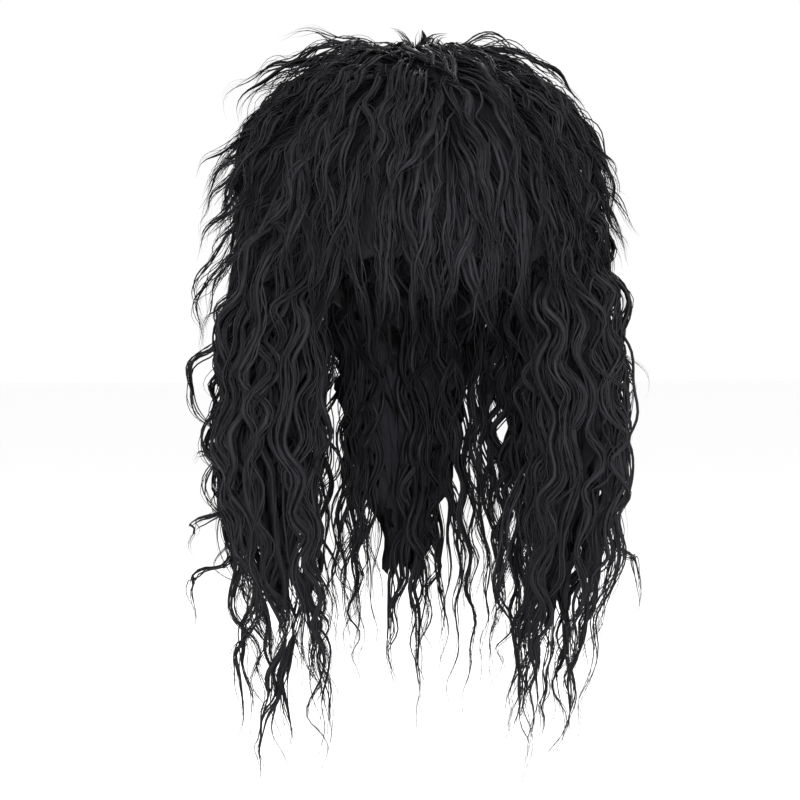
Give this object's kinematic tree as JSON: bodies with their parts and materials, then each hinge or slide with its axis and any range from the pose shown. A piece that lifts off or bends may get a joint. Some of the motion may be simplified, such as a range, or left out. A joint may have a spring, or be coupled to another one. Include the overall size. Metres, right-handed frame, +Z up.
{
  "type": "mullet wig",
  "caption": "Black wavy mullet wig: shaggy layers and a fringe over a fitted cap, long hair hanging behind and beside the neck.",
  "frame": {"origin": "where the top of the wearer's head touches the inside of the cap", "axes": "+Z up out of the crown, -Y towards the wearer's face, +X towards the wearer's left"},
  "size_m": [0.2874, 0.2591, 0.4981],
  "materials": {
    "hair": "glossy synthetic fibre, nearly black",
    "cap_net": "matt black net",
    "elastic_band": "ribbed black elastic"
  },
  "bodies": {
    "root": {"cap_dome": "cap_net", "edge_band": "elastic_band", "top_layer": "hair", "fringe": "hair", "side_layer_left": "hair", "side_layer_right": "hair", "back_layer": "hair", "long_left": "hair", "long_right": "hair", "long_back": "hair"}
  },
  "joints": []
}
